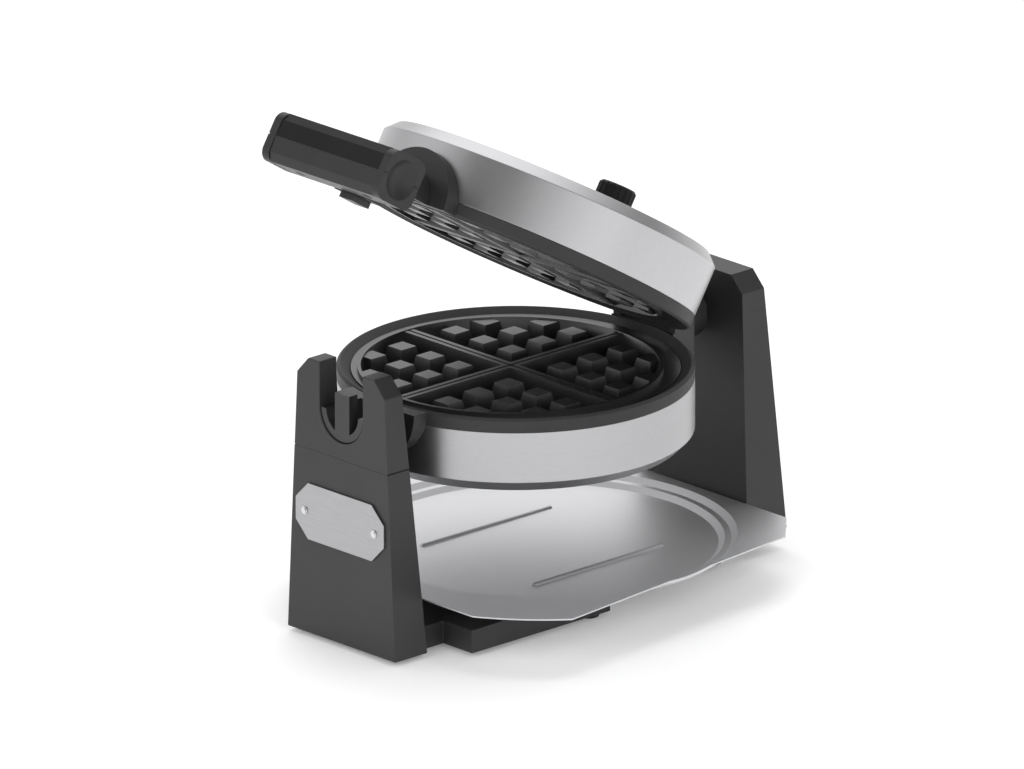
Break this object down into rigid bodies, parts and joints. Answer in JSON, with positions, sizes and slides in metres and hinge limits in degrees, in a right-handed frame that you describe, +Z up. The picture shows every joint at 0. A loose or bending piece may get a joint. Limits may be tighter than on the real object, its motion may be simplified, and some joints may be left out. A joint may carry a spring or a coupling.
{
  "type": "flip waffle maker",
  "caption": "Round waffle maker that turns over on a pivot between front and rear towers, with a hinged lid, cross handle, browning knob and a drip tray below.",
  "frame": {"origin": "on the table, at the middle of the box round the object with its lid open and its tray pulled out 10 mm, as in the picture", "axes": "+X to the right seen from the handle end, +Y from the handle to the rear tower, +Z up"},
  "size_m": [0.2638, 0.3512, 0.3373],
  "materials": {
    "tower_plastic": "satin moulded, fine grain",
    "handle_plastic": "satin moulded",
    "bracket_plastic": "satin moulded",
    "ring_plastic": "fine powder texture",
    "cover_steel": "brushed round the axis",
    "nonstick_plate": "dark nonstick coating",
    "element_steel": "dull sheathed tube",
    "reflector_aluminium": "plain sheet",
    "hardware_steel": "plated",
    "bush_brass": "turned",
    "terminal_plastic": "moulded",
    "thermostat_can": "pressed can",
    "badge_metal": "brushed, bare",
    "rivet_metal": "polished",
    "foot_rubber": "moulded",
    "tray_steel": "satin rolled sheet"
  },
  "bodies": {
    "base": {"base_frame": "tower_plastic", "front_tower_lower": "tower_plastic", "front_tower_cradle": "tower_plastic", "rear_tower_body": "tower_plastic", "rear_tower_cap": "tower_plastic", "bearing_bush": "bush_brass", "cord_inlet": "tower_plastic", "terminal_block": "terminal_plastic", "badge_plate": "badge_metal", "badge_rivets": "rivet_metal", "rubber_feet": "foot_rubber", "tray_rails": "tower_plastic"},
    "tray": {"drip_tray": "tray_steel"},
    "lower_head": {"lower_cover": "cover_steel", "lower_ring": "ring_plastic", "lower_grid_plate": "nonstick_plate", "lower_heating_element": "element_steel", "lower_reflector": "reflector_aluminium", "lower_trunnion": "bracket_plastic", "lower_cover_screw": "hardware_steel", "lower_hinge_bracket": "bracket_plastic", "hinge_pin": "hardware_steel", "pivot_shaft": "hardware_steel", "shaft_clip": "hardware_steel"},
    "lid": {"upper_cover": "cover_steel", "upper_ring": "ring_plastic", "upper_grid_plate": "nonstick_plate", "upper_heating_element": "element_steel", "upper_reflector": "reflector_aluminium", "lid_trunnion": "bracket_plastic", "lid_hinge_bracket": "bracket_plastic", "thermostat": "thermostat_can", "handle_upper_shell": "handle_plastic", "handle_lower_shell": "handle_plastic", "handle_screws": "hardware_steel", "handle_end_caps": "handle_plastic"},
    "knob": {"browning_knob": "handle_plastic", "knob_spindle": "hardware_steel"}
  },
  "joints": [
    {"name": "head_flip", "type": "hinge", "parent": "base", "child": "lower_head", "pos_m": [-0.00392, 0.14956, 0.154], "axis": [0, 1, 0], "range_deg": [0, 90]},
    {"name": "lid_hinge", "type": "hinge", "parent": "lower_head", "child": "lid", "pos_m": [-0.00392, 0.10406, 0.1752], "axis": [-1, 0, 0], "range_deg": [-32.2, 55]},
    {"name": "knob_turn", "type": "hinge", "parent": "lid", "child": "knob", "pos_m": [-0.00392, 0.06694, 0.23167], "axis": [0, 0.5329, 0.8462], "range_deg": [-135, 135]},
    {"name": "tray_slide", "type": "slide", "parent": "base", "child": "tray", "axis": [1, 0, 0], "range_m": [-0.01, 0.24]}
  ]
}
